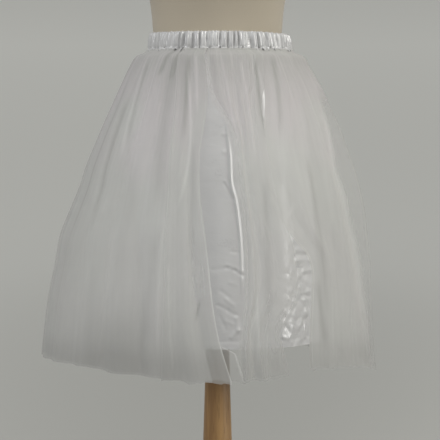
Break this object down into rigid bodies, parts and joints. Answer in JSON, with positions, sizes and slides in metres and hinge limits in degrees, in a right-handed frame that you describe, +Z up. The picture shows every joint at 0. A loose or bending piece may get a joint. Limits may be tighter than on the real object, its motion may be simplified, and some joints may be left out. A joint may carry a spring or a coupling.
{
  "type": "tulle skirt on a dress form",
  "caption": "Knee-length skirt of gathered tulle panels over a satin underskirt, on a limbless dress form with a turned pole and a round base.",
  "frame": {"origin": "centre of the base's flat underside, on the pole's axis", "axes": "+Z up, the front of the skirt faces -Y; left (-X) and right (+X) in the names are those of someone who looks at the front, so the wearer's left side is +X"},
  "size_m": [0.5971, 0.5059, 1.484],
  "materials": {
    "satin": "glossy white satin, ruched and softly creased",
    "tulle": "sheer white net in soft gathers",
    "form_cloth": "plain beige jersey stretched over the form",
    "stand_wood": "brown varnished turned wood"
  },
  "bodies": {
    "root": {"waistband": "satin", "underskirt_front": "satin", "underskirt_back": "satin", "tulle_front_left": "tulle", "tulle_front_fold": "tulle", "tulle_front_centre": "tulle", "tulle_front_right": "tulle", "tulle_back_right": "tulle", "tulle_back_left": "tulle", "form_torso": "form_cloth", "stand_pole": "stand_wood", "stand_base": "stand_wood"}
  },
  "joints": []
}
